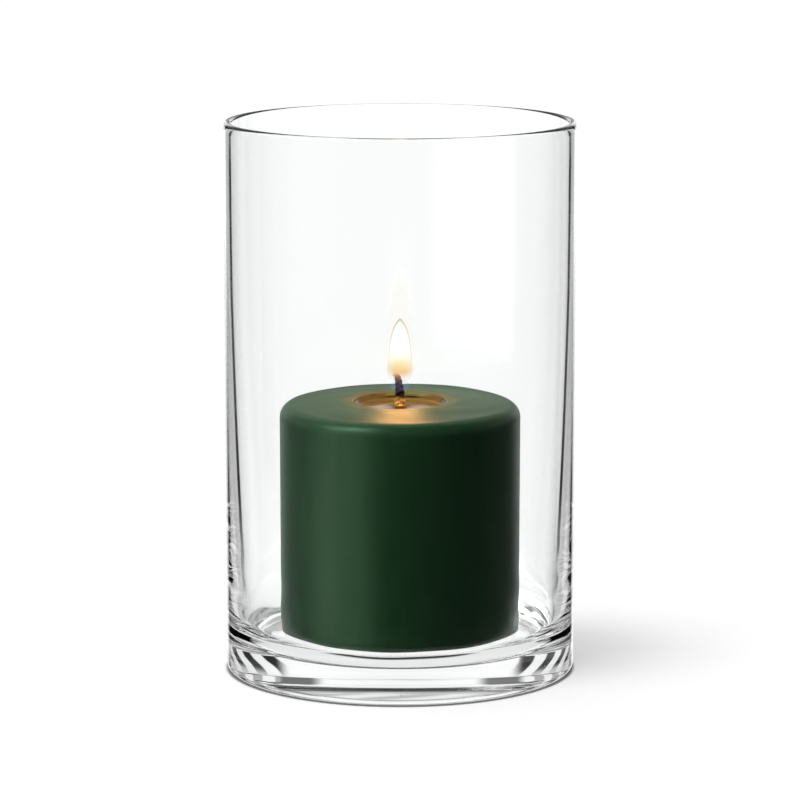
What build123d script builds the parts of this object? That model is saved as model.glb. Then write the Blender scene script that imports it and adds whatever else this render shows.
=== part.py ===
"""Hurricane candle lantern: a heavy-based glass cylinder with a pillar candle standing loose inside it.

Frame: millimetres, +Z up, origin at the centre of the glass's foot, where it stands on a table.
Every piece but the wick is a solid of revolution about Z. The wick's charred tip leans towards -X.
"""

from build123d import *
import math
import os

# Glass cylinder
GLASS_DIAMETER = 112.0
GLASS_HEIGHT = 177.0
RIM_THICKNESS = 2.4  # the wall at the rim, which is fire-polished to a half round
WALL_AT_MIDDLE = 3.2  # the wall thickens downwards, as blown glass does
WALL_AT_BASE = 6.6
BASE_THICKNESS = 9.5  # solid glass between the candle and the table
INNER_CORNER_RADIUS = 11.0  # where the inside wall sweeps into the floor
HEEL_RADIUS = 2.4  # outside edge of the base
FOOT_INNER_RADIUS = 44.0  # the glass stands on a ring, with a shallow hollow inside it
FOOT_HOLLOW_DEPTH = 1.2

# Pillar candle
CANDLE_DIAMETER = 77.4
CANDLE_HEIGHT = 76.2
SHOULDER_RADIUS = 4.1  # rounded top edge
CANDLE_FOOT_RADIUS = 2.4  # rounded bottom edge

# Well burnt in the candle's top, and the molten wax that stands in it
WELL_RADIUS = 14.8
WELL_LIP_RADIUS = 0.9  # the softened edge of the well
WELL_DEPTH = 5.2
WELL_WALL_LEAN = 0.9  # how much narrower the well is at the liquid than at its lip
WELL_CORNER_RADIUS = 2.2
LIQUID_BELOW_TOP = 2.2

# Wick
WICK_DIAMETER = 2.8
WICK_STUB = 11.9  # stands out of the liquid
WICK_LEAN_START = 2.6  # the stub is straight for this much above the liquid
WICK_BEND_RADIUS = 34.0
MENISCUS_RISE = 0.8  # the liquid climbs the wick by this much
MENISCUS_SPREAD = 1.4
MENISCUS_CURVE_RADIUS = 2.1
MENISCUS_ROOT = 1.0  # the raised ring starts this far below the liquid level, so that the two join

# Wick sustainer: a stamped disc with a crimped neck that grips the wick's lower end
SUSTAINER_DIAMETER = 20.0
SUSTAINER_SHEET = 0.4
NECK_HEIGHT = 4.0
NECK_SHEET = 0.35
NECK_FILLET = 0.5

# Levels above the table and radii, worked out from the sizes above
FLOOR = BASE_THICKNESS
FOOT_DOME_RADIUS = (FOOT_INNER_RADIUS**2 + FOOT_HOLLOW_DEPTH**2) / (2 * FOOT_HOLLOW_DEPTH)
CANDLE_TOP = FLOOR + CANDLE_HEIGHT
LIQUID = CANDLE_TOP - LIQUID_BELOW_TOP
WICK_RADIUS = WICK_DIAMETER / 2
WICK_BOTTOM = FLOOR + SUSTAINER_SHEET
NECK_TOP = FLOOR + NECK_HEIGHT


def turned(profile):
    """The solid that a half profile in the XZ plane sweeps in one turn about Z."""
    return revolve(profile, axis=Axis.Z)


def corners(profile, *places):
    """The corners of a half profile nearest to the given (radius, height) places."""
    return [profile.vertices().sort_by_distance((radius, 0, height))[0] for radius, height in places]


def hurricane_glass():
    """One piece of glass: ring foot, rounded heel, straight outside, half-round rim, thickening wall."""
    outside = GLASS_DIAMETER / 2
    rim_centre = outside - RIM_THICKNESS / 2
    rim_height = GLASS_HEIGHT - RIM_THICKNESS / 2
    middle = (outside - WALL_AT_MIDDLE, (rim_height + BASE_THICKNESS) / 2)
    floor_corner = (outside - WALL_AT_BASE, BASE_THICKNESS)
    with BuildSketch(Plane.XZ) as half:
        with BuildLine():
            RadiusArc((0, FOOT_HOLLOW_DEPTH), (FOOT_INNER_RADIUS, 0), FOOT_DOME_RADIUS)
            Line((FOOT_INNER_RADIUS, 0), (outside, 0))
            Line((outside, 0), (outside, rim_height))
            ThreePointArc(
                (outside, rim_height),
                (rim_centre, GLASS_HEIGHT),
                (outside - RIM_THICKNESS, rim_height),
            )
            ThreePointArc((outside - RIM_THICKNESS, rim_height), middle, floor_corner)
            Line(floor_corner, (0, BASE_THICKNESS))
            Line((0, BASE_THICKNESS), (0, FOOT_HOLLOW_DEPTH))
        make_face()
        fillet(corners(half.sketch, (outside, 0)), HEEL_RADIUS)
        fillet(corners(half.sketch, floor_corner), INNER_CORNER_RADIUS)
    return turned(half.sketch)


def well_profile():
    """Half profile of the hollow in the candle's top, from its floor up to the top face."""
    at_floor = WELL_RADIUS - WELL_WALL_LEAN * WELL_DEPTH / LIQUID_BELOW_TOP
    with BuildSketch(Plane.XZ) as half:
        with BuildLine():
            Polyline(
                (0, CANDLE_TOP - WELL_DEPTH),
                (at_floor, CANDLE_TOP - WELL_DEPTH),
                (WELL_RADIUS, CANDLE_TOP),
                (0, CANDLE_TOP),
                close=True,
            )
        make_face()
        fillet(corners(half.sketch, (at_floor, CANDLE_TOP - WELL_DEPTH)), WELL_CORNER_RADIUS)
    return half.sketch


def wick_channel():
    """The straight hole that the wick runs in, from the candle's foot to well above its top."""
    length = CANDLE_HEIGHT + WICK_STUB
    return Pos(0, 0, FLOOR + length / 2) * Cylinder(WICK_RADIUS, length)


def wick_sustainer():
    """Flat disc with a round neck, open at the top, that grips the wick."""
    disc = Pos(0, 0, FLOOR + SUSTAINER_SHEET / 2) * Cylinder(SUSTAINER_DIAMETER / 2, SUSTAINER_SHEET)
    neck = Pos(0, 0, (FLOOR + NECK_TOP) / 2) * Cylinder(WICK_RADIUS + NECK_SHEET, NECK_HEIGHT)
    bore_height = NECK_TOP - WICK_BOTTOM
    bore = Pos(0, 0, WICK_BOTTOM + bore_height / 2) * Cylinder(WICK_RADIUS, bore_height)
    solid = disc + neck
    neck_root = (WICK_RADIUS + NECK_SHEET, 0, WICK_BOTTOM)
    root = solid.edges().filter_by(GeomType.CIRCLE).sort_by_distance(neck_root)[0]
    return fillet(root, NECK_FILLET) - bore


def candle_body():
    """Wax pillar with rounded edges, less the well, the wick's channel and the sustainer's seat."""
    pillar = Pos(0, 0, (FLOOR + CANDLE_TOP) / 2) * Cylinder(CANDLE_DIAMETER / 2, CANDLE_HEIGHT)
    rims = pillar.edges().filter_by(GeomType.CIRCLE).sort_by(Axis.Z)
    pillar = fillet(rims[-1], SHOULDER_RADIUS)
    foot = pillar.edges().filter_by(GeomType.CIRCLE).sort_by(Axis.Z)[0]
    pillar = fillet(foot, CANDLE_FOOT_RADIUS)
    pillar = pillar - turned(well_profile())
    lip = pillar.edges().filter_by(GeomType.CIRCLE).sort_by_distance((WELL_RADIUS, 0, CANDLE_TOP))[0]
    pillar = fillet(lip, WELL_LIP_RADIUS)
    seat = wick_sustainer() + Pos(0, 0, FLOOR + NECK_HEIGHT / 2) * Cylinder(WICK_RADIUS, NECK_HEIGHT)
    return pillar - wick_channel() - seat


def melt_pool():
    """Molten wax up to the liquid level, with a meniscus that climbs the wick."""
    inner_top = (WICK_RADIUS, LIQUID + MENISCUS_RISE)
    inner_root = (WICK_RADIUS, LIQUID - MENISCUS_ROOT)
    outer_edge = (WICK_RADIUS + MENISCUS_SPREAD, LIQUID)
    outer_root = (WICK_RADIUS + MENISCUS_SPREAD, LIQUID - MENISCUS_ROOT)
    with BuildSketch(Plane.XZ) as climb:
        with BuildLine():
            Line(inner_root, inner_top)
            RadiusArc(inner_top, outer_edge, -MENISCUS_CURVE_RADIUS)
            Polyline(outer_edge, outer_root, inner_root)
        make_face()
    above = Pos(0, 0, LIQUID + GLASS_HEIGHT / 2) * Cylinder(GLASS_DIAMETER, GLASS_HEIGHT)
    liquid = turned(well_profile()) - above
    return liquid + turned(climb.sketch) - wick_channel()


def wick():
    """Round wick, straight inside the candle, with a gentle lean in the stub that stands above the liquid."""
    bend_start = LIQUID + WICK_LEAN_START
    lean = (WICK_STUB - WICK_LEAN_START) / WICK_BEND_RADIUS
    tip = (
        -WICK_BEND_RADIUS * (1 - math.cos(lean)),
        0,
        bend_start + WICK_BEND_RADIUS * math.sin(lean),
    )
    straight = Line((0, 0, WICK_BOTTOM), (0, 0, bend_start))
    curl = TangentArc((0, 0, bend_start), tip, tangent=(0, 0, 1))
    section = Plane.XY.offset(WICK_BOTTOM) * Circle(WICK_RADIUS)
    return sweep(section, path=Wire([straight, curl]))


PIECES = {
    "hurricane_glass": hurricane_glass,
    "candle_body": candle_body,
    "melt_pool": melt_pool,
    "wick": wick,
    "wick_sustainer": wick_sustainer,
}

os.makedirs("parts", exist_ok=True)
for node, make in PIECES.items():
    piece = make()
    box = piece.bounding_box()
    print(f"{node}: {piece.volume / 1000:.2f} cm3, z {box.min.Z:.2f} to {box.max.Z:.2f} mm")
    export_step(piece, f"parts/{node}.step")
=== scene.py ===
# %% [markdown]
# # A hurricane candle lantern
#
# A heavy clear glass cylinder stands on a table with a short dark green pillar candle loose inside
# it. The candle is lit, so there is a well of molten wax round a charred, plaited wick, and a
# flame.
#
# The engineering model of the lantern is already packed as a fixed frame: five nodes on two
# bodies, the glass and the candle, which lifts straight out. Here every node gets its finished
# surface. Nearly all of it is turned work, so most pieces are one half profile carried round the
# upright axis, worked out with numpy as whole arrays.

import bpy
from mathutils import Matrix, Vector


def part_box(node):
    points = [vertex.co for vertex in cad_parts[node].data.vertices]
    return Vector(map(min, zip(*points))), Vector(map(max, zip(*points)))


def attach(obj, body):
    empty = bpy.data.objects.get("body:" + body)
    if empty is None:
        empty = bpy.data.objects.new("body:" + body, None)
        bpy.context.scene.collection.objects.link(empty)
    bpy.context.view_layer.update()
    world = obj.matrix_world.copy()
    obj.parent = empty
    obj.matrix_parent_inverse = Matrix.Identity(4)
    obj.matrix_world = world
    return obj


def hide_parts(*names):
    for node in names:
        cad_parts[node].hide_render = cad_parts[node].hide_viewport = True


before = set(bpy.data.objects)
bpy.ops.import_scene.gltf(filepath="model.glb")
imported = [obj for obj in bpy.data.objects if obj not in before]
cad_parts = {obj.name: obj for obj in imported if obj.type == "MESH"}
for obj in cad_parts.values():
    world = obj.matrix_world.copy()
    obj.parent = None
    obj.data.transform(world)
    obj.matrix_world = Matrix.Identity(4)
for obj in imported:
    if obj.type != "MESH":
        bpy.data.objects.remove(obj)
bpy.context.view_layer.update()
for node_name in sorted(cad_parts):
    low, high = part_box(node_name)
    print(node_name, [round(v * 1000, 2) for v in low], [round(v * 1000, 2) for v in high], "mm")

# %% [markdown]
# ## The sizes that everything hangs on
#
# Positions are read from the frame, so a piece made here lands where the engineering model has it.
# Only the small radii, which a box can't tell, are written out again: the heel, the inside corner,
# the foot ring and the shoulder.

# %% Levels and radii read from the frame
import math

import bpy
import numpy as np

glass_low, glass_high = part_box("hurricane_glass")
wax_low, wax_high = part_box("candle_body")
pool_low, pool_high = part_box("melt_pool")
wick_low, wick_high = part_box("wick")
outside = (glass_high[1] - glass_low[1]) / 2
glass_top = glass_high[2]
floor_level = wax_low[2]
wax_radius = (wax_high[0] - wax_low[0]) / 2
wax_top = wax_high[2]
print(f"glass {outside * 2000:.1f} mm across")
print(f"candle from {floor_level * 1000:.1f} to {wax_top * 1000:.1f} mm")

# %% [markdown]
# ## The camera
#
# A long lens from well back and a little above keeps the upright sides of the glass nearly
# parallel while the rim still opens into an ellipse. There is no shift and no depth of field, so
# other views can reuse the same camera.

# %% Camera
camera = bpy.data.objects.new("camera", bpy.data.cameras.new("camera"))
bpy.context.scene.collection.objects.link(camera)
bpy.context.scene.camera = camera
CAMERA_BACK, CAMERA_UP, LOOKING_DOWN = 1.2761, 0.3066, 9.7597  # metres, metres, degrees
camera.data.sensor_width = 36.0
camera.data.lens = 181.86
camera.data.clip_start = 0.05
camera.data.clip_end = 50.0
camera.location = (0.0, -CAMERA_BACK, CAMERA_UP)
camera.rotation_euler = (math.radians(90 - LOOKING_DOWN), 0.0, 0.0)
print("camera", tuple(round(v, 3) for v in camera.location), "lens", camera.data.lens)

# %% [markdown]
# ## Shader sums as Python expressions
#
# A shader is a small calculation done at every point. Written with nodes it is hard to read, so
# one class wraps a node's output and lets + - * / stand for Math nodes. One more method adds any
# other kind of node: its settings are set first, because some of them change which sockets the
# node has, and then its sockets get values or wires.


# %% A wire that can be added, multiplied and compared
class Wire:
    """One output of a shader node, in the tree that the node belongs to."""

    def __init__(self, tree, socket):
        self.tree, self.socket = tree, socket

    def math(self, operation, *others):
        """One Math node with this output in its first socket."""
        values = dict(enumerate((self, *others)))
        return add_node(self.tree, "ShaderNodeMath", {"operation": operation}, values)

    def __add__(self, other):
        return self.math("ADD", other)

    def __sub__(self, other):
        return self.math("SUBTRACT", other)

    def __rsub__(self, other):
        return (self * -1.0) + other

    def __mul__(self, other):
        return self.math("MULTIPLY", other)

    def __truediv__(self, other):
        return self.math("DIVIDE", other)

    def __pow__(self, other):
        return self.math("POWER", other)

    def __gt__(self, other):
        return self.math("GREATER_THAN", other)

    def __lt__(self, other):
        return self.math("LESS_THAN", other)

    __radd__ = __add__
    __rmul__ = __mul__

    def between(self, low, high):
        """0 below low, 1 above high, and an even slope from one to the other."""
        return add_node(
            self.tree,
            "ShaderNodeMapRange",
            {"interpolation_type": "SMOOTHSTEP"},
            {"Value": self, "From Min": low, "From Max": high, "To Min": 0.0, "To Max": 1.0},
        )


def add_node(tree, kind, settings=None, sockets=None, output=0):
    """Adds a node: settings first, then values or wires in its sockets. Returns one output."""
    node = tree.nodes.new(kind)
    for name, value in (settings or {}).items():
        if name == "stops":
            ramp = node.color_ramp
            while len(ramp.elements) < len(value):
                ramp.elements.new(0.5)
            for element, (place, colour) in zip(ramp.elements, value):
                element.position = place
                element.color = (*colour, 1.0)
        else:
            setattr(node, name, value)
    for name, value in (sockets or {}).items():
        if isinstance(value, Wire):
            tree.links.new(value.socket, node.inputs[name])
        else:
            node.inputs[name].default_value = value
    return Wire(tree, node.outputs[output]) if node.outputs else None


def mix_colours(mask, below, above):
    """The colour below where the mask is 0 and the colour above where it is 1."""
    colours = {0: mask}
    for place, colour in ((6, below), (7, above)):
        colours[place] = colour if isinstance(colour, Wire) else (*colour, 1.0)
    return add_node(mask.tree, "ShaderNodeMix", {"data_type": "RGBA"}, colours, output=2)


# %% [markdown]
# ## The studio
#
# Clear glass has no colour of its own. It is drawn by what it bends into view, so a photographer
# lights it with a white field behind and dark flags beside that field: the walls, which bend light
# furthest, pick up the dark and turn into crisp lines. The world of this scene holds such a set.
# It could be built from white and black boards, but every board would show to every ray. So each
# is a patch of sky instead, shown only to the rays that it is meant for. The patches suit the
# camera above, so the dark lines in the glass belong to this studio as much as to the glass.
#
# A plain camera ray sees white. A ray bent through the glass sees a white field parted by dark
# flags. A ray mirrored inside the wall sees a field with dark edges, a mirrored one sees soft
# boxes, and a scattered one sees an even light that is stronger from the left.

# %% Directions in the sky
world = bpy.data.worlds.new("studio")
bpy.context.scene.world = world
world.use_nodes = True
world.node_tree.nodes.clear()
world.cycles.sampling_method = "NONE"
sky = world.node_tree
towards = add_node(sky, "ShaderNodeTexCoord", output=0)
side, ahead, up = [
    add_node(sky, "ShaderNodeSeparateXYZ", {}, {"Vector": towards}, output=k) for k in range(3)
]
bearing = ahead.math("ARCTAN2", side)
off_middle = (bearing - math.pi / 2).math("COSINE").math("ARCCOSINE") * math.degrees(1)
drop = up.math("ARCSINE") * math.degrees(1)


def band(value, lowest, highest, soft):
    """1 while the value is between two limits, 0 outside them, with soft edges."""
    risen = value.between(lowest - soft, lowest + soft)
    return risen * (1.0 - value.between(highest - soft, highest + soft))


def sector(centre, half_width, soft):
    """1 inside a sector of the horizon, given by its bearing and half width in degrees, else 0."""
    turn = (bearing - math.radians(centre)).math("COSINE")
    outer, inner = math.radians(half_width + soft), math.radians(half_width - soft)
    return turn.between(math.cos(outer), math.cos(inner))


def sectors(places, soft):
    """All of the sectors added together. Each place is a bearing and a half width in degrees."""
    return sum((sector(centre, half_width, soft) for centre, half_width in places), 0.0)


def path_output(name):
    """A light path output as a Wire, by its name."""
    return Wire(sky, sky.nodes.new("ShaderNodeLightPath").outputs[name])


# %% [markdown]
# The light path counts how often a ray has gone through a surface and how often it was mirrored,
# which tells where it has been. Mirrored without going through anything: the outside of the glass.
# Mirrored once inside the wall: the bright and black edges. Mirrored more often, or sent upwards:
# piped along inside the base, so it belongs with the bent rays. In through both faces of the wall,
# mirrored, and out through both again: the candle.

# %% Where a ray has been
seen = path_output("Is Camera Ray")
through = path_output("Transmission Depth")
mirrors = path_output("Glossy Depth")
has_scattered = path_output("Diffuse Depth") > 0.5
in_glass = (through > 0.5) * (through < 3.5)
piped = in_glass * ((mirrors > 1.5) + (up > 0.0)).math("MINIMUM", 1.0)
has_mirrored = (mirrors > 0.5) * (1.0 - piped)
straight_through = (through > 3.5) * (1.0 - (mirrors > 0.5))

# %% [markdown]
# ## What glass bends into view
#
# Directions are measured in degrees: `bearing` round the horizon, `off_middle` away from straight
# ahead, and `drop` above the level, so that it is negative below it. Low flags stand on the table
# and high flags hang above it, each at its own bearing. One more flag, the edge of the white
# field, follows the slope of the rays that cross the cylinder, and so draws a dark line down
# inside each wall.

# %% Flags round the white field
FIELD_LIGHT, WING_LIGHT, DARK_LEFT = 1.15, 0.04, 0.01
LOW_FLAGS = [(166, 5), (13, 4), (-152, 6), (-21, 6), (-69, 6)]
HIGH_FLAGS = [(5, 4), (175, 4), (-156, 6), (-69, 6)]
TABLE_EDGE, EDGE_SOFTNESS = math.sin(math.radians(-15)), 0.03
STEEPEST, FLATTEST, OFFSET_PER_DEGREE = -12.0, -7.0, 2.6
above_table = up > 0.0
on_table = up.between(TABLE_EDGE - EDGE_SOFTNESS, TABLE_EDGE + EDGE_SOFTNESS)
low_flags = sectors(LOW_FLAGS, 1.5) * on_table
slope = drop.math("MAXIMUM", STEEPEST).math("MINIMUM", FLATTEST)
edge_flag = (off_middle + slope * OFFSET_PER_DEGREE).between(5.0, 7.5)
edge_flag = edge_flag * (1.0 - off_middle.between(50.0, 54.0))
edge_flag = edge_flag * (1.0 - above_table) * band(drop, -13.4, -6.0, 0.6)
low_flags = low_flags + edge_flag * (0.6 + drop.between(-11.8, -10.6) * 0.4)
flags = low_flags + (sectors(HIGH_FLAGS, 2.0) * 0.9 - low_flags) * above_table
flags = flags * (1.0 - straight_through * band(drop, -6.0, 8.0, 0.5))
wings = 1.0 - ((bearing - math.pi / 2) * 8.0).math("COSINE")
field = FIELD_LIGHT + wings * WING_LIGHT
bent = field * (1.0 - flags.between(0.0, 1.0) * (1.0 - DARK_LEFT))
bent = bent * (1.0 - up.between(0.25, 0.5) * 0.85)

# %% [markdown]
# Light that is piped along inside the thick base arrives chopped up by the ripples of worked glass.
# They could be shaped in the glass, but here the sky carries them, because there they are easy to
# place: slanting streaks for the rays that leave near the sides, fine upright ripples for the ones
# that leave at the front, and a dark echo of the wall. Under another sky the base would be plain.

# %% Streaks and ripples in the base
PIPED_LOSS, STREAK_DARKNESS, ECHO_DARKNESS = 0.14, 0.97, 0.85
slant = off_middle * 0.46 + drop * 0.40 + bearing * 0.6
slant = slant + (drop * 0.35 + bearing * 3.0).math("SINE") * 0.8
streaks = slant.math("SINE").between(-0.25, 0.35) * off_middle.between(27.0, 33.0)
streaks = streaks * (1.0 - band(drop, -24.0, -9.0, 3.0) * 0.45)
streaks = streaks * (1.0 - off_middle.between(68.0, 76.0) * 0.75)
streaks = streaks * (1.0 - drop.between(14.0, 18.0) * 0.75)
comb = (bearing * 19.0 + drop * 1.5).math("SINE").between(-0.9, 0.9) * 0.36 + 0.12
from_below = drop.between(1.0, 5.0) * (1.0 - off_middle.between(30.0, 38.0))
from_heel = band(drop, -15.8, -12.5, 0.8) * (1.0 - off_middle.between(12.0, 22.0))
ripples = comb * (mirrors > 1.5) * (from_below + from_heel)
wall_echo = band(off_middle, 19.0, 33.0, 2.5) * (1.0 - drop.between(-6.0, -4.0)) * (mirrors > 1.5)
in_base = streaks.math("MAXIMUM", ripples).math("MAXIMUM", wall_echo * ECHO_DARKNESS)
chopped = in_base * piped * drop.between(-28.0, -24.0) * STREAK_DARKNESS
bent = bent * (1.0 - chopped) * (1.0 - piped * PIPED_LOSS)

# %% [markdown]
# A ray that meets the inner face of the wall at a low angle is turned round and leaves towards the
# far side of the studio. There it finds a white field with a grey edge, a black edge that leans
# with the slope of the ray, and a second dark line lower down. Below all of them is the table.

# %% What the walls turn round from within
LEAN_START, LEAN_END, LEAN = 10.0, 20.0, 1.3
lean = (drop * -1.0 - LEAN_START).math("MAXIMUM", 0.0).math("MINIMUM", LEAN_END - LEAN_START)
tilted = off_middle - lean * LEAN
white_field = sector(112, 66, 3) + sector(-157, 22, 3) * 0.18 + sector(-45, 45, 3) * 0.02
grey_edge = tilted.between(13.0, 21.0) * 0.45 * drop.between(-25.0, -21.0)
black_edge = band(tilted, 26.8, 32.5, 1.2) * (0.45 + drop.between(-20.0, -15.5) * 0.55)
second_line = band(off_middle, 4.5, 10.5, 1.5) * 0.6
second_line = second_line * (1.0 - drop.between(-17.0, -14.5)) * drop.between(-30.0, -27.0)
side_flags = sectors([(170, 7), (-145, 7), (-10, 7), (-80, 7)], 1.5) * drop.between(-18.0, -15.0)
shaded = grey_edge.math("MAXIMUM", black_edge)
shaded = shaded.math("MAXIMUM", second_line).math("MAXIMUM", side_flags)
turned_back = white_field * (1.0 - shaded * (1.0 - DARK_LEFT)) * FIELD_LIGHT
table_below = 0.04 + ahead.between(-0.25, -0.05) * 0.85
turned_back = turned_back + (table_below - turned_back) * (1.0 - up.between(-0.42, -0.33))

# %% [markdown]
# The outside of the glass and the wax mirror soft boxes: a bright one on the left, the far wall
# and weak sides. The wax is rough, so it spreads them into broad highlights. Matt surfaces get an
# even light.

# %% What is mirrored and what is scattered
left_box = sector(-146, 28, 9) * band(up, -0.85, 0.85, 0.15)
facing = band(up, -0.9, 0.3, 0.15)
far_wall = sector(90, 38, 8) * facing
sides = sector(30, 40, 12) * 0.10 + sector(-210, 30, 12) * 0.16
outline = 1.0 - sector(90, 5, 2) * 0.85
above_level = up.between(0.0, 0.14) * 0.34
on_glass = 0.01 + left_box * 0.1 + sector(90, 20, 4) * outline * facing * 1.35 + above_level
on_wax = 0.02 + left_box * 1.95 + far_wall * 0.8 + sides + above_level
scattered = 0.22 + side * -0.20 + up * 0.22

# %% [markdown]
# Each kind of ray now gets its own value, one after another, and the last sum keeps plain white
# for the camera.

# %% Join the sky
mirrored = on_glass + (turned_back - on_glass) * in_glass
mirrored = mirrored + (on_wax - mirrored) * (through > 3.5)
light = bent + (mirrored - bent) * has_mirrored
light = light + (scattered - light) * has_scattered
light = light + (1.0 - light) * seen
white = (1.0, 1.0, 1.0, 1.0)
backdrop = add_node(sky, "ShaderNodeBackground", {}, {"Color": white, "Strength": light})
add_node(sky, "ShaderNodeOutputWorld", {}, {"Surface": backdrop})
print("sky of", len(sky.nodes), "nodes")

# %% [markdown]
# A large key light stands high on the left. It gives the candle its bright side and lays one soft,
# faint shadow on the table to the right.

# %% Key light
key = bpy.data.objects.new("key_light", bpy.data.lights.new("key_light", "SUN"))
bpy.context.scene.collection.objects.link(key)
key.data.angle = math.radians(34)
key.data.energy = 1.35
key.data.color = (1.0, 1.0, 0.99)
key_bearing, key_height = math.radians(-151), math.radians(47)
key.rotation_euler = (math.pi / 2 - key_height, 0.0, key_bearing + math.pi / 2)
print("key light stands", round(math.degrees(key_height)), "degrees up")

# %% [markdown]
# ## Turned surfaces
#
# A turned surface is a grid: one direction runs along the half profile and the other round the
# axis. A point of the profile at radius r and height z goes to (r cos t, r sin t, z). The grid
# closes on itself round the axis, and a profile that starts or ends on the axis closes there with
# a ring of triangles that share one point.


# %% Make a mesh from a grid of points
def closed_grid(points, start_pole=False, end_pole=False):
    """Corners, quads and triangles of points[along, round, xyz], which closes on itself round."""
    along, around = points.shape[:2]
    index = np.arange(along * around).reshape(along, around)
    right = np.roll(index, -1, axis=1)
    quads = np.stack([index[:-1], right[:-1], right[1:], index[1:]], axis=-1).reshape(-1, 4)
    corners, fans = points.reshape(-1, 3), [np.empty((0, 3), int)]
    for wanted, row, winding in ((start_pole, 0, (1, 0, 2)), (end_pole, along - 1, (0, 1, 2))):
        if wanted:
            fan = np.stack([index[row], right[row], np.full(around, len(corners))], axis=-1)
            fans.append(fan[:, winding])
            corners = np.vstack([corners, points[row].mean(axis=0)])
    return corners, quads, np.vstack(fans)


def make_piece(name, grids):
    """One object of several closed grids, each numbered on from the ones that come before it."""
    starts = np.cumsum([0] + [len(corners) for corners, _, _ in grids])
    corners = np.vstack([grid[0] for grid in grids])
    quads = np.vstack([grid[1] + start for grid, start in zip(grids, starts)])
    triangles = np.vstack([grid[2] + start for grid, start in zip(grids, starts)])
    mesh = bpy.data.meshes.new(name)
    mesh.from_pydata(corners.tolist(), [], quads.tolist() + triangles.tolist())
    mesh.shade_smooth()
    piece = bpy.data.objects.new(name, mesh)
    bpy.context.scene.collection.objects.link(piece)
    print(name, len(corners), "points", len(quads) + len(triangles), "faces")
    return piece


def grid_mesh(name, points, start_pole=False, end_pole=False):
    """One object of one closed grid. A pole is a point that all of an end row's triangles share."""
    return make_piece(name, [closed_grid(points, start_pole, end_pole)])


def turned_points(radius, height, around):
    """Carries a half profile round the axis: (r cos t, r sin t, z)."""
    turn = np.linspace(0.0, 2 * math.pi, around, endpoint=False)
    radius = np.asarray(radius)[:, None]
    level = np.broadcast_to(np.asarray(height)[:, None], (len(radius), around))
    return np.stack([radius * np.cos(turn), radius * np.sin(turn), level], axis=-1)


def arc(centre, size, first, last, count):
    """Points on a circle from one angle to another, in degrees, the last one left out."""
    angle = np.radians(np.linspace(first, last, count, endpoint=False))
    return np.stack([centre[0] + size * np.cos(angle), centre[1] + size * np.sin(angle)], axis=-1)


def run(start, end, count):
    """Points on a straight run, the last one left out."""
    share = np.linspace(0.0, 1.0, count, endpoint=False)[:, None]
    return np.asarray(start) * (1 - share) + np.asarray(end) * share


# %% [markdown]
# ## The glass
#
# The cylinder is one piece: a ring foot round a shallow hollow, a rounded heel, a straight
# outside, a fire-polished rim and an inner wall that thickens downwards and sweeps into a flat
# floor. A plain tube would miss how the wall thickens, and that sets where its lines fall. So the
# half profile is a chain of runs and arcs, and the inner wall is one large arc through three
# thicknesses.

# %% Glass profile
RIM, MIDDLE_WALL, BASE_WALL = 0.0024, 0.0032, 0.0066
INNER_CORNER, HEEL, FOOT_INNER, FOOT_HOLLOW = 0.011, 0.0024, 0.044, 0.0012
WALL_STEPS, CORNER_STEPS, FLOOR_STEPS, ROUND = 70, 28, 26, 288
rim_level = glass_top - RIM / 2


def circle_through(a, b, c):
    """Centre and radius of the circle through three points, from two bisectors."""
    a, b, c = (np.asarray(p, float) for p in (a, b, c))
    rows = np.stack([b - a, c - b])
    centre = np.linalg.solve(rows, (rows * np.stack([(a + b) / 2, (b + c) / 2])).sum(axis=1))
    return centre, float(np.hypot(*(a - centre)))


wall_centre, wall_sweep = circle_through(
    (outside - RIM, rim_level),
    (outside - MIDDLE_WALL, (rim_level + floor_level) / 2),
    (outside - BASE_WALL, floor_level),
)
corner_level = floor_level + INNER_CORNER
corner_rise = corner_level - wall_centre[1]
corner_radius = wall_centre[0] + math.sqrt((wall_sweep - INNER_CORNER) ** 2 - corner_rise**2)
meet = math.degrees(math.atan2(corner_rise, corner_radius - wall_centre[0]))
top_angle = math.degrees(math.atan2(rim_level - wall_centre[1], outside - RIM - wall_centre[0]))
hollow_centre, hollow_sweep = circle_through(
    (-FOOT_INNER, 0.0), (0.0, FOOT_HOLLOW), (FOOT_INNER, 0.0)
)
hollow_edge = math.degrees(math.asin(FOOT_INNER / hollow_sweep))
glass_profile = np.vstack(
    [
        arc(hollow_centre, hollow_sweep, 90 - 0.02, 90 - hollow_edge, 28),
        run((FOOT_INNER, 0.0), (outside - HEEL, 0.0), 8),
        arc((outside - HEEL, HEEL), HEEL, -90, 0, 20),
        run((outside, HEEL), (outside, rim_level), WALL_STEPS),
        arc((outside - RIM / 2, rim_level), RIM / 2, 0, 180 + top_angle, 22),
        arc(wall_centre, wall_sweep, top_angle, meet, WALL_STEPS),
        arc((corner_radius, corner_level), INNER_CORNER, meet, -90, CORNER_STEPS),
        run((corner_radius, floor_level), (0.0002, floor_level), FLOOR_STEPS),
    ]
)
print("glass profile", glass_profile.shape)
print("floor flat to radius", round(corner_radius * 1000, 2), "mm")

# %% [markdown]
# Blown glass is never perfectly round inside. Near the thick base the inner wall keeps slow waves
# a few hundredths of a millimetre high that wind round it. They crumple the lines at the bottom of
# the wall.

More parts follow.
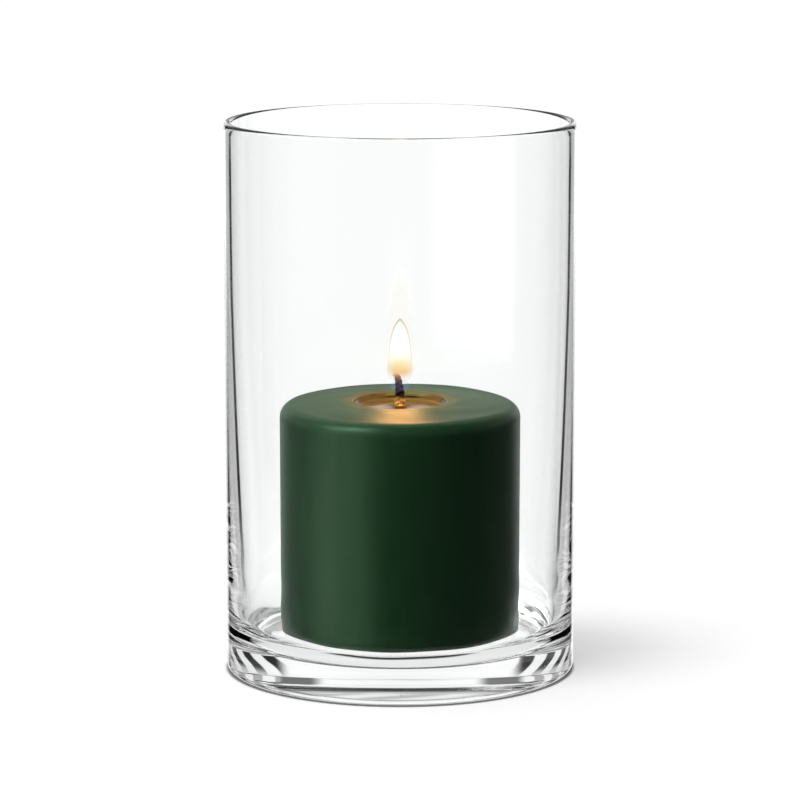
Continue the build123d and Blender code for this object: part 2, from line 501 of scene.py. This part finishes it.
# %% Waves on the inner wall near the base
SWELL, SWELL_CENTRE, SWELL_REACH, FLOOR_MARGIN = 0.0006, 0.012, 0.015, 0.002
glass_points = turned_points(glass_profile[:, 0], glass_profile[:, 1], ROUND)
turn = np.linspace(0.0, 2 * math.pi, ROUND, endpoint=False)[None, :]
height = glass_profile[:, 1][:, None]
first_inner = len(glass_profile) - FLOOR_STEPS - CORNER_STEPS - WALL_STEPS
inner_rows = (np.arange(len(glass_profile)) >= first_inner)[:, None]
wave = np.sin(9 * turn + height * 420.0) + 0.7 * np.sin(14 * turn - height * 610.0 + 1.0)
near_base = np.exp(-(((height - floor_level - SWELL_CENTRE) / SWELL_REACH) ** 2)) * inner_rows
flat_floor = np.clip((height - floor_level) / FLOOR_MARGIN, 0.0, 1.0)
swell = 1.0 + SWELL * wave * near_base * flat_floor
glass_points[..., :2] *= swell[..., None]
print("inner wall waves up to", round(float(abs(swell - 1).max()) * outside * 1000, 2), "mm")
glass = grid_mesh("glass_cylinder", glass_points, True, True)
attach(glass, "glass")
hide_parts("hurricane_glass")


# %% [markdown]
# Every finish but the glass varies over its piece: with height, with the distance from the axis,
# or in soft clouds of noise. These helpers give a shader each of those, and turn a height into
# bumps.

# %% Where things are on a piece
def place_on(tree):
    """A point of the piece, its height and its distance from the axis, as Wires."""
    where = add_node(tree, "ShaderNodeTexCoord", output=3)
    x, y, z = [
        add_node(tree, "ShaderNodeSeparateXYZ", {}, {"Vector": where}, output=k) for k in range(3)
    ]
    return where, z, (x * x + y * y).math("SQRT")


def cloud(tree, where, scale, detail=3.0, stretch=(1.0, 1.0, 1.0)):
    """Smooth noise about one half, stretched along the axes."""
    fitted = add_node(tree, "ShaderNodeMapping", {}, {"Vector": where, "Scale": stretch})
    noise = {"Vector": fitted, "Scale": scale, "Detail": detail}
    return add_node(tree, "ShaderNodeTexNoise", {}, noise)


def bump(tree, height, depth, strength=1.0):
    """Tilts the surface by a height in metres."""
    tilt = {"Height": height * depth, "Distance": 1.0, "Strength": strength}
    return add_node(tree, "ShaderNodeBump", {}, tilt)


# %% [markdown]
# The glass is clear and polished, so its shader has no roughness and only a faint tint. Lamp light
# through it would need caustics, which are slow and grainy to trace, so a shadow ray meets a thin
# clear veil instead.

# %% Glass material
def new_material(name):
    """A material with an empty node tree. Returns both."""
    material = bpy.data.materials.new(name)
    material.use_nodes = True
    material.node_tree.nodes.clear()
    return material, material.node_tree


def finish_material(tree, shader):
    """Wires a shader to the material's surface."""
    add_node(tree, "ShaderNodeOutputMaterial", {}, {"Surface": shader})


clear, tree = new_material("clear_glass")
bulk = add_node(
    tree,
    "ShaderNodeBsdfPrincipled",
    {},
    {
        "Base Color": (0.985, 0.995, 0.99, 1.0),
        "Roughness": 0.0,
        "IOR": 1.5,
        "Transmission Weight": 1.0,
    },
)
shade = add_node(tree, "ShaderNodeBsdfTransparent", {}, {"Color": (0.9, 0.915, 0.905, 1.0)})
lamp_ray = Wire(tree, tree.nodes.new("ShaderNodeLightPath").outputs["Is Shadow Ray"])
finish_material(tree, add_node(tree, "ShaderNodeMixShader", {}, {0: lamp_ray, 1: bulk, 2: shade}))
glass.data.materials.append(clear)

# %% [markdown]
# The table is a wide pale disc. It glows a little, so that it stays as bright as the white behind
# it, and has a painted contact shadow: it is painted dark under the glass and in a thin line just
# outside its foot, where light can't get in. Bent and mirrored rays don't see it, because the sky
# holds the table's part for them.

# %% Table
TABLE_RINGS = [0.001, 0.1, 0.3, 0.6, 3.0]
flat_table = turned_points(TABLE_RINGS, [0.0] * len(TABLE_RINGS), 64)
table_top = grid_mesh("table", flat_table, True)
table_top.visible_transmission = False
table_top.visible_glossy = False
pale, tree = new_material("pale_table")
from_axis = place_on(tree)[2]
# Painted contact shadow: the table's colour and glow go dark under the glass and just outside its
# foot.
painted_contact_shadow = 1.0 - from_axis.between(outside - 0.0006, outside + 0.0010)
finish_material(
    tree,
    add_node(
        tree,
        "ShaderNodeBsdfPrincipled",
        {},
        {
            "Base Color": mix_colours(painted_contact_shadow, (0.9, 0.9, 0.9), (0.2, 0.2, 0.2)),
            "Roughness": 1.0,
            "Specular IOR Level": 0.0,
            "Emission Color": mix_colours(painted_contact_shadow, (1.0, 1.0, 1.0), (0.1, 0.1, 0.1)),
            "Emission Strength": 0.43,
        },
    ),
)
table_top.data.materials.append(pale)

# %% [markdown]
# ## The wax pillar
#
# A pillar candle is poured into a mould, so its side is straight and smooth, its top edge has
# slumped into a soft shoulder and the burnt well has a melted lip. It is one turned surface. The
# side is left true. Round the well the warm wax has swollen by almost a millimetre, with a low
# frozen ring where some has spilt and set, and a slow unevenness of a tenth of a millimetre or so,
# all added to the heights of the grid. The foot is dished a little, so the candle rests on its edge
# as a real one does.

# %% Wax profile
SHOULDER, WAX_FOOT, WAX_DISH = 0.0041, 0.0024, 0.0004
WELL, WELL_LIP, WELL_DEEP, WELL_LEAN, WELL_CORNER = 0.0148, 0.0009, 0.0052, 0.0021, 0.0022
CHANNEL, SWOLLEN = 0.0002, 0.0009
well_floor = wax_top - WELL_DEEP
wax_profile = np.vstack(
    [
        run((CHANNEL, floor_level + WAX_DISH), (wax_radius - WAX_FOOT, floor_level + 0.0001), 12),
        arc((wax_radius - WAX_FOOT, floor_level + WAX_FOOT), WAX_FOOT, -90, 0, 14),
        run((wax_radius, floor_level + WAX_FOOT), (wax_radius, wax_top - SHOULDER), 50),
        arc((wax_radius - SHOULDER, wax_top - SHOULDER), SHOULDER, 0, 90, 22),
        run((wax_radius - SHOULDER, wax_top), (WELL + WELL_LIP, wax_top), 60),
        arc((WELL + WELL_LIP, wax_top - WELL_LIP), WELL_LIP, 90, 180, 12),
        run((WELL, wax_top - WELL_LIP), (WELL - WELL_LEAN, well_floor + WELL_CORNER), 8),
        arc((WELL - WELL_LEAN - WELL_CORNER, well_floor + WELL_CORNER), WELL_CORNER, 0, -90, 8),
        run((WELL - WELL_LEAN - WELL_CORNER, well_floor), (CHANNEL, well_floor), 10),
    ]
)

# %% Wax surface
SPILT_HIGH, SPILT_RADIUS, SPILT_WIDE = 0.00011, 0.0186, 0.0011
SWOLLEN_TO, SWOLLEN_FADE, TOP_SKIN, WALL_FADE = 0.034, 0.016, 0.0006, 0.003
wax_points = turned_points(wax_profile[:, 0], wax_profile[:, 1], ROUND)
radius, height = wax_profile[:, 0][:, None], wax_profile[:, 1][:, None]
ring_line = SPILT_RADIUS + 0.0007 * np.sin(2 * turn + 0.6)
spilt_ring = SPILT_HIGH * np.exp(-(((radius - ring_line) / SPILT_WIDE) ** 2))
uneven = 0.00009 * np.sin(3 * turn + radius * 300.0) + 0.00006 * np.sin(7 * turn - radius * 520.0)
on_top = np.clip((height - (wax_top - TOP_SKIN)) / TOP_SKIN, 0.0, 1.0) * (radius > WELL)
inwards = np.clip((SWOLLEN_TO - radius) / SWOLLEN_FADE, 0.0, 1.0)
up_the_well = np.clip((height - well_floor) / WALL_FADE, 0.0, 1.0)
swollen = SWOLLEN * inwards**2 * (3 - 2 * inwards) * up_the_well
wax_points[..., 2] += on_top * (spilt_ring + uneven) + swollen
wax_body = grid_mesh("wax_pillar", wax_points, True, True)
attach(wax_body, "candle")
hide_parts("candle_body")

# %% [markdown]
# Dyed paraffin is dark green but not opaque: light goes a few millimetres in before it comes back,
# which softens every edge, so the shader has some subsurface scattering. Faint clouding and fine
# mould marks vary its colour and its gloss. The rest of its colour is painted light: the top is
# painted a lighter grey-green as a painted reflection of the bright room, the top round the well
# carries a painted orange flame glow in its colour and a faint emission, and the wall of the well,
# wet with molten wax, is painted in golden lit and dark olive shaded patches as if lit from within
# by the flame.

# %% Green wax
wax, tree = new_material("green_wax")
where, z, from_axis = place_on(tree)
clouding = cloud(tree, where, 38.0, 4.0, (1.0, 1.0, 0.45))
marks = cloud(tree, where, 420.0, 3.0, (1.0, 1.0, 0.12))
pits = cloud(tree, where, 950.0, 2.0)
green = mix_colours(clouding.between(0.3, 0.72), (0.006, 0.036, 0.010), (0.011, 0.050, 0.016))
green = mix_colours(marks.between(0.35, 0.8) * 0.35, green, (0.018, 0.062, 0.024))
top_mask = z.between(wax_top - 0.0012, wax_top - 0.0004)
# Painted reflection: the top skin is painted a lighter grey-green, as if it mirrored the bright
# room.
green = mix_colours(top_mask * 0.8, green, (0.052, 0.112, 0.060))
# Painted flame glow: the top just round the well is painted orange-brown.
painted_glow_near_well = (1.0 - from_axis.between(WELL + 0.0004, WELL + 0.0055)) * top_mask
green = mix_colours(painted_glow_near_well * 0.3, green, (0.15, 0.085, 0.028))
in_well = 1.0 - from_axis.between(WELL - 0.0001, WELL + 0.0006)
in_well = in_well * z.between(well_floor - 0.001, well_floor + 0.0005)
# Painted flame light: the wet wall of the well is painted in golden lit patches and dark olive
# shaded ones.
lit_and_shaded_patches = cloud(tree, where, 120.0).between(0.42, 0.6)
flame_lit_wet_wall = mix_colours(lit_and_shaded_patches, (0.010, 0.009, 0.0015), (0.075, 0.055, 0.008))
green = mix_colours(in_well, green, flame_lit_wet_wall)
# Painted flame glow: a faint orange emission on the top round the well and in the well, though the
# wax is no lamp.
around_well = (1.0 - from_axis.between(WELL, WELL + 0.012)) ** 2.0
painted_flame_glow = mix_colours(around_well * top_mask, (0.0, 0.0, 0.0), (0.020, 0.008, 0.001))
painted_flame_glow = mix_colours(in_well, painted_flame_glow, (0.012, 0.008, 0.001))
gloss = 0.30 + clouding * 0.10 + marks * 0.06 + top_mask * 0.14 + in_well * -0.40
relief = marks * 0.00003 + clouding * 0.00025 + pits * 0.00001
finish_material(
    tree,
    add_node(
        tree,
        "ShaderNodeBsdfPrincipled",
        {},
        {
            "Base Color": green,
            "Roughness": gloss,
            "IOR": 1.44,
            "Specular Tint": (0.55, 1.0, 0.62, 1.0),
            "Subsurface Weight": 0.35,
            "Subsurface Radius": (0.35, 1.0, 0.4),
            "Subsurface Scale": 0.0022,
            "Emission Color": painted_flame_glow,
            "Emission Strength": 1.0,
            "Normal": bump(tree, relief, 1.0, 0.6),
        },
    ),
)
wax_body.data.materials.append(wax)

# %% [markdown]
# ## The molten wax
#
# The pool is a shallow turned solid that fills the bottom of the well. A liquid that wets its
# container climbs it a little, so the surface curls up at the wall and, more, up the wick, in a
# curve that dies away as exp(-distance).

# %% Melt pool
LIQUID_BELOW = 0.0022
liquid = wax_top + SWOLLEN - LIQUID_BELOW
SHRINK = 0.00004
wall_at_liquid = WELL - WELL_LEAN * LIQUID_BELOW / WELL_DEEP
UNDER_WICK = 0.0012  # the surface runs on under the wick's strands, to this radius
across = np.linspace(wall_at_liquid, UNDER_WICK, 60)
up_the_wall = 0.00055 * np.exp(-(wall_at_liquid - across) / 0.0006)
up_the_wick = 0.0011 * np.exp(-(across - UNDER_WICK) / 0.0008)
bend_radius = WELL - WELL_LEAN - WELL_CORNER
bend_level = well_floor + WELL_CORNER
pool_profile = np.vstack(
    [
        run((0.0003, well_floor + SHRINK), (bend_radius, well_floor + SHRINK), 10),
        arc((bend_radius, bend_level), WELL_CORNER - SHRINK, -90, 0, 10),
        run((WELL - WELL_LEAN - SHRINK, bend_level), (wall_at_liquid - SHRINK, liquid), 4),
        np.stack([across - SHRINK, liquid + up_the_wall + up_the_wick], axis=-1),
    ]
)
pool_points = turned_points(pool_profile[:, 0], pool_profile[:, 1], 192)
pool = grid_mesh("molten_wax", pool_points, True, True)
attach(pool, "candle")
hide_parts("melt_pool")

molten, tree = new_material("molten_wax")
where, z, from_axis = place_on(tree)
swirl = cloud(tree, where, 90.0, 2.0)
amber = mix_colours(swirl.between(0.35, 0.7), (0.085, 0.075, 0.028), (0.13, 0.11, 0.045))
# Painted reflection: a darker ring in the liquid round the wick.
painted_dark_reflection = 1.0 - from_axis.between(0.0038, 0.0060)
amber = mix_colours(painted_dark_reflection, amber, (0.055, 0.030, 0.002))
# Painted flame light: the liquid at the wick's foot is painted bright gold, and the whole pool
# glows faintly, with a stronger glow at the foot.
lit_foot = 1.0 - from_axis.between(0.0013, 0.0019)
amber = mix_colours(lit_foot, amber, (0.75, 0.42, 0.08))
finish_material(
    tree,
    add_node(
        tree,
        "ShaderNodeBsdfPrincipled",
        {},
        {
            "Base Color": amber,
            "Roughness": 0.09 + swirl * 0.06,
            "IOR": 1.44,
            "Specular IOR Level": 0.25,
            "Specular Tint": (0.78, 0.74, 0.44, 1.0),
            "Emission Color": mix_colours(lit_foot, (0.004, 0.003, 0.0), (0.16, 0.08, 0.01)),
            "Emission Strength": 1.0,
            "Normal": bump(tree, swirl, 0.00012),
        },
    ),
)
pool.data.materials.append(molten)
print(f"engineering model's pool: {(pool_high[2] - pool_low[2]) * 1000:.1f} mm high")

# %% [markdown]
# ## The wick
#
# A wick is three cotton strands plaited flat. Each strand follows x = a sin(t), y = b sin(2t), a
# third of a turn after the one before, while t grows along the wick. Above the liquid the wick is
# burnt: it bends to one side, gets thinner and ends in a few frayed fibres that still glow. So
# each strand is a tube round its own path, thickened by the wax it has soaked up at the foot,
# roughened by seeded noise, and thinned and spread at the tip.

# %% Wick path and strands
WICK_LEAN_START, BEND = 0.0026, 0.034
PLAIT_PITCH, STRAND, FRAY, FIBRE = 0.0052, 0.00078, 0.0042, 0.00013
PLAIT_WIDE, PLAIT_DEEP = 0.00080, 0.00045
dice = np.random.default_rng(7)
bend_start = liquid + WICK_LEAN_START
wick_length = wick_high[2] - wick_low[2]
along = np.linspace(0.0, 1.0, 420) * (wick_length - 0.0002)
level = wick_low[2] + 0.0001 + along


def wick_line(level):
    """The middle of the wick: upright, then on a circle that leans towards -x. Returns x and z."""
    angle = np.clip(level - bend_start, 0.0, None) / BEND
    risen = np.where(level > bend_start, bend_start + BEND * np.sin(angle), level)
    return -BEND * (1 - np.cos(angle)), risen


def tube_round(path, size, around):
    """A tube round a path: centre + size (cos u n + sin u b), with n and b square to the path."""
    ahead_of = np.gradient(path, axis=0)
    ahead_of /= np.linalg.norm(ahead_of, axis=1, keepdims=True)
    across_y = np.cross(ahead_of, np.array([1.0, 0.0, 0.0]))
    across_y /= np.linalg.norm(across_y, axis=1, keepdims=True)
    across_x = np.cross(across_y, ahead_of)
    u = np.linspace(0.0, 2 * math.pi, around, endpoint=False)[None, :, None]
    spoke = np.cos(u) * across_x[:, None] + np.sin(u) * across_y[:, None]
    return path[:, None] + size[..., None] * spoke


burnt = np.clip((level - bend_start) / (wick_high[2] - bend_start), 0.0, 1.0)
soaked = np.exp(-(((level - liquid - 0.0012) / 0.0016) ** 2))
thinner = 1.0 + 0.16 * soaked - 0.42 * burnt**1.5
middle_x, middle_z = wick_line(level)


def strand_points(step, start_level, size, spread, around=10):
    """One plaited strand above a level, with seeded knots, that opens outwards at the tip."""
    rows = level >= start_level
    t = 2 * math.pi * along[rows] / PLAIT_PITCH + step * 2 * math.pi / 3
    opened = 1.0 + spread * np.clip(burnt[rows] - 0.8, 0.0, None) * 5
    slim = thinner[rows]
    path = np.stack(
        [
            middle_x[rows] + PLAIT_WIDE * slim * opened * np.sin(t),
            PLAIT_DEEP * slim * opened * np.sin(2 * t),
            middle_z[rows],
        ],
        axis=-1,
    )
    knots = dice.normal(0.0, 1.0, (rows.sum(), around))
    knots = (knots + np.roll(knots, 1, 0) + np.roll(knots, -1, 0) + np.roll(knots, 1, 1)) / 4
    rough = 1.0 + knots * (0.04 + 0.16 * burnt[rows, None])
    end = np.clip((1.0 - np.linspace(0, 1, rows.sum())) * 60, 0.15, 1.0)
    return tube_round(path, size * slim[:, None] * end[:, None] * rough, around)


main_strands = [strand_points(k, wick_low[2], STRAND, 0.35 * k) for k in range(3)]
fray_start = wick_high[2] - FRAY
fibres = [strand_points(k + 0.4, fray_start, FIBRE, 1.3 + 0.5 * k, 6) for k in range(5)]
wick = make_piece("plaited_wick", [closed_grid(tube, True, True) for tube in main_strands + fibres])
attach(wick, "candle")
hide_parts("wick")

# %% [markdown]
# Three states follow each other up the wick: cotton soaked with wax at the foot, charred cotton
# above it, and a tip that still glows. Noise makes the borders between them ragged. The waxed foot
# also carries painted flame light, an orange glow in its emission.

# %% Wick cotton: waxed, then charred, then glowing
cotton, tree = new_material("wick_cotton")
where, z, from_axis = place_on(tree)
threads = cloud(tree, where, 2600.0, 3.0, (1.0, 1.0, 0.25))
edge_of_char = (z + (threads - 0.5) * 0.0016).between(liquid + 0.0022, liquid + 0.0040)
waxed = mix_colours(threads.between(0.35, 0.65), (0.20, 0.095, 0.015), (0.62, 0.40, 0.13))
char = mix_colours(threads.between(0.45, 0.75), (0.002, 0.0015, 0.002), (0.012, 0.007, 0.008))
near_tip = (z + (threads - 0.5) * 0.004).between(wick_high[2] - 0.0040, wick_high[2] - 0.0006)
char = mix_colours(near_tip * 0.8, char, (0.035, 0.009, 0.004))
ember = mix_colours(near_tip * threads.between(0.42, 0.62), (0.0, 0.0, 0.0), (0.09, 0.018, 0.006))
# Painted flame light: the waxed foot of the wick, from the liquid up to where the char starts, gets
# an orange glow in its emission, besides the embers at the tip.
flame_light_on_foot = (1.0 - edge_of_char) * z.between(liquid - 0.001, liquid)
ember = mix_colours(flame_light_on_foot * 0.5, ember, (0.30, 0.15, 0.03))
finish_material(
    tree,
    add_node(
        tree,
        "ShaderNodeBsdfPrincipled",
        {},
        {
            "Base Color": mix_colours(edge_of_char, waxed, char),
            "Roughness": 0.35 + edge_of_char * 0.4,
            "Specular IOR Level": 0.2,
            "Emission Color": ember,
            "Emission Strength": 1.0,
            "Normal": bump(tree, threads, 0.00008),
        },
    ),
)
wick.data.materials.append(cotton)

# %% [markdown]
# ## The wick's metal foot
#
# Under the wick sits a small stamped tin disc with a neck crimped round the cotton. It is a turned
# shell 0.4 mm thick with a rolled edge. It lies a hair's breadth above the glass, as it does under
# a real candle: two surfaces in exactly the same place would fight over which one the light meets
# first.

# %% Wick sustainer
DISC, SHEET, NECK, LIFT = 0.010, 0.0004, 0.0040, 0.00015
tin_low = floor_level + LIFT
tin_profile = np.vstack(
    [
        run((0.0004, tin_low), (DISC - SHEET / 2, tin_low), 12),
        arc((DISC - SHEET / 2, tin_low + SHEET / 2), SHEET / 2, -90, 90, 10),
        run((DISC - SHEET / 2, tin_low + SHEET), (0.0024, tin_low + SHEET), 14),
        arc((0.0024, tin_low + SHEET + 0.0006), 0.0006, -90, -180, 8),
        run((0.0018, tin_low + SHEET + 0.0006), (0.0018, floor_level + NECK - 0.0002), 10),
        arc((0.00165, floor_level + NECK - 0.0002), 0.00015, 0, 180, 8),
        run((0.0015, floor_level + NECK - 0.0002), (0.0015, tin_low + SHEET), 6),
        run((0.0015, tin_low + SHEET), (0.0004, tin_low + SHEET), 4),
    ]
)
TIN_ROUND, CRIMP_START, CRIMP_DEEP, CRIMPS = 96, 0.0016, 0.05, 6
tin_points = turned_points(tin_profile[:, 0], tin_profile[:, 1], TIN_ROUND)
crimped = (tin_profile[:, 1] > tin_low + CRIMP_START) & (tin_profile[:, 0] > 0.0017)
tin_turn = np.linspace(0, 2 * math.pi, TIN_ROUND, endpoint=False)
crimp = crimped[:, None] * (0.5 + 0.5 * np.cos(CRIMPS * tin_turn))
tin_points[..., :2] *= 1.0 - CRIMP_DEEP * crimp[..., None]
sustainer = grid_mesh("tin_sustainer", tin_points, True, True)
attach(sustainer, "candle")
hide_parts("wick_sustainer")

# %% [markdown]
# Tinplate is bright rolled metal with dull patches. Noise stretched along one axis gives the
# rolled grain, and wide noise dulls it here and there.

# %% Tinplate
tin, tree = new_material("tinplate")
where, z, from_axis = place_on(tree)
drawn = cloud(tree, where, 900.0, 2.0, (0.08, 1.0, 1.0))
dulled = cloud(tree, where, 160.0)
tin_colour = mix_colours(dulled.between(0.35, 0.7), (0.66, 0.66, 0.64), (0.48, 0.47, 0.45))
finish_material(
    tree,
    add_node(
        tree,
        "ShaderNodeBsdfPrincipled",
        {},
        {
            "Base Color": tin_colour,
            "Metallic": 1.0,
            "Roughness": 0.22 + drawn * 0.2,
            "Normal": bump(tree, drawn, 0.00002),
        },
    ),
)
sustainer.data.materials.append(tin)

# %% [markdown]
# ## The flame
#
# A flame has no surface, only zones: a clear blue cup at the foot, a peach and yellow zone where
# the wax vapour starts to burn, a white heart, a thin tan edge and a faint warm veil above. Thin
# nested shells stand for the zones. Each is a turned drop whose radius grows from the foot as sin
# and closes at the tip as a power of the height left, and each lets most light through and gives
# off a colour that changes with height.


# %% Flame shells
def drop_profile(low, high, widest, where_widest, taper, tip_power, rows=72):
    """Radius and height of a half profile, widest (w) at a share c of its height s.

    Up to there the radius is w sin(90 s / c) ** 0.5. Past it, with q the share of the way to the
    tip, it is w (1 - t q - (1 - t) q ** p).
    """
    share = np.linspace(0.004, 0.996, rows)
    foot = np.sin(np.clip(share / where_widest, 0.0, 1.0) * math.pi / 2) ** 0.5
    left_over = np.clip((share - where_widest) / (1 - where_widest), 0.0, 1.0)
    closed = 1 - taper * left_over - (1 - taper) * left_over**tip_power
    return widest * foot * closed, low + share * (high - low)


def flame_shell(name, size, strength, colours, thickness):
    """One closed drop on the candle. Colours and thickness are stops: share of height, value."""
    low, high = size[:2]
    shell_radius, shell_height = drop_profile(*size)
    shell = grid_mesh(name, turned_points(shell_radius, shell_height, 64), True, True)
    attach(shell, "candle")
    shell.visible_shadow = shell.visible_diffuse = shell.visible_glossy = False
    glow, tree = new_material(name)
    share = (place_on(tree)[1] - low) / (high - low)
    colour = add_node(tree, "ShaderNodeValToRGB", {"stops": colours}, {"Fac": share})
    grey_stops = [(place, (value, value, value)) for place, value in thickness]
    solid = add_node(tree, "ShaderNodeValToRGB", {"stops": grey_stops}, {"Fac": share})
    burning = add_node(tree, "ShaderNodeEmission", {}, {"Color": colour, "Strength": strength})
    clear_air = add_node(tree, "ShaderNodeBsdfTransparent")
    layers = {0: solid, 1: clear_air, 2: burning}
    finish_material(tree, add_node(tree, "ShaderNodeMixShader", {}, layers))
    shell.data.materials.append(glow)
    return shell


CREAM, TAN, BLUE = (1.0, 0.972, 0.90), (0.60, 0.44, 0.31), (0.40, 0.52, 0.95)
PEACH, ROSE = (0.94, 0.55, 0.27), (0.92, 0.42, 0.16)
flame_foot = wick_high[2] - 0.0040
flame_shell(
    "flame_veil",
    (flame_foot, flame_foot + 0.0362, 0.0049, 0.18, 0.55, 6.0),
    1.07,
    [(0.0, PEACH), (0.12, CREAM), (1.0, CREAM)],
    [(0.0, 0.0), (0.06, 0.04), (0.3, 0.20), (0.85, 0.34), (1.0, 0.10)],
)
flame_shell(
    "flame_edge",
    (flame_foot, flame_foot + 0.0218, 0.00425, 0.24, 0.45, 6.0),
    1.0,
    [(0.0, PEACH), (0.25, TAN), (1.0, TAN)],
    [(0.0, 0.0), (0.15, 0.04), (0.4, 0.12), (0.7, 0.40), (1.0, 0.75)],
)
flame_body = flame_shell(
    "flame_body",
    (flame_foot + 0.0002, flame_foot + 0.0210, 0.00395, 0.24, 0.45, 6.0),
    2.6,
    [
        (0.0, (0.36, 0.17, 0.07)),
        (0.2, (0.38, 0.22, 0.11)),
        (0.25, (0.40, 0.28, 0.12)),
        (0.31, (0.42, 0.37, 0.18)),
        (0.39, (0.46, 0.45, 0.31)),
        (0.50, (0.56, 0.56, 0.52)),
        (1.0, (1.0, 1.0, 1.0)),
    ],
    [(0.0, 0.0), (0.12, 0.03), (0.18, 0.15), (0.24, 0.34), (0.36, 0.54), (0.5, 0.84), (1.0, 0.92)],
)
SOFT_DOME = [(0.0, 0.0), (0.28, 0.06), (0.45, 0.38), (0.8, 0.46), (1.0, 0.06)]
flame_shell(
    "flame_lemon_zone",
    (flame_foot + 0.0010, flame_foot + 0.0094, 0.0034, 0.35, 0.0, 2.2),
    1.08,
    [(0.0, PEACH), (0.5, (1.0, 0.72, 0.26)), (1.0, (1.0, 0.94, 0.50))],
    SOFT_DOME,
)
flame_shell(
    "flame_amber_zone",
    (flame_foot + 0.0012, flame_foot + 0.0085, 0.0026, 0.35, 0.0, 2.2),
    1.08,
    [(0.0, ROSE), (0.5, (0.96, 0.47, 0.12)), (0.75, (1.0, 0.62, 0.12)), (1.0, (1.0, 0.88, 0.34))],
    SOFT_DOME,
)
flame_shell(
    "flame_peach_zone",
    (flame_foot + 0.0014, flame_foot + 0.0077, 0.0018, 0.40, 0.0, 2.2),
    1.08,
    [(0.0, ROSE), (0.6, (0.94, 0.42, 0.10)), (1.0, (1.0, 0.56, 0.09))],
    SOFT_DOME,
)
flame_shell(
    "flame_foot",
    (flame_foot - 0.0024, flame_foot + 0.0022, 0.0031, 0.45, 0.0, 2.2),
    1.0,
    [(0.0, BLUE), (1.0, BLUE)],
    [(0.0, 0.0), (0.3, 0.06), (0.7, 0.07), (1.0, 0.0)],
)

# %% [markdown]
# The shells only show the flame. What it throws on the wax comes from a small round lamp inside it,
# which moves with the candle, together with the painted flame glow in the colours of the wax, the
# liquid and the wick. The lamp lights only the wax, the liquid and the wick.

# %% Flame lamp
flame_lamp = bpy.data.objects.new("flame_light", bpy.data.lights.new("flame_light", "POINT"))
bpy.context.scene.collection.objects.link(flame_lamp)
flame_lamp.location = (0.0, 0.0, flame_foot + 0.009)
flame_lamp.data.shadow_soft_size = 0.0075
flame_lamp.data.energy = 0.045
flame_lamp.data.color = (1.0, 0.42, 0.14)
flame_lamp.visible_camera = flame_lamp.visible_transmission = False
lit_by_flame = bpy.data.collections.new("lit_by_flame")
for piece in (wax_body, pool, wick):
    lit_by_flame.objects.link(piece)
flame_lamp.light_linking.receiver_collection = lit_by_flame
flame_lamp.parent = flame_body

# %% [markdown]
# A ray that is piped round the base is mirrored many times before it leaves. With too few bounces
# it ends black, and with very many the corners of the wall fill with fine noise. The plain view
# transform keeps white white.

# %% Light bounces
cycles = bpy.context.scene.cycles
cycles.max_bounces = 24
cycles.transmission_bounces = 24
cycles.glossy_bounces = 16
cycles.diffuse_bounces = 3
cycles.transparent_max_bounces = 32
bpy.context.scene.view_settings.view_transform = "Standard"
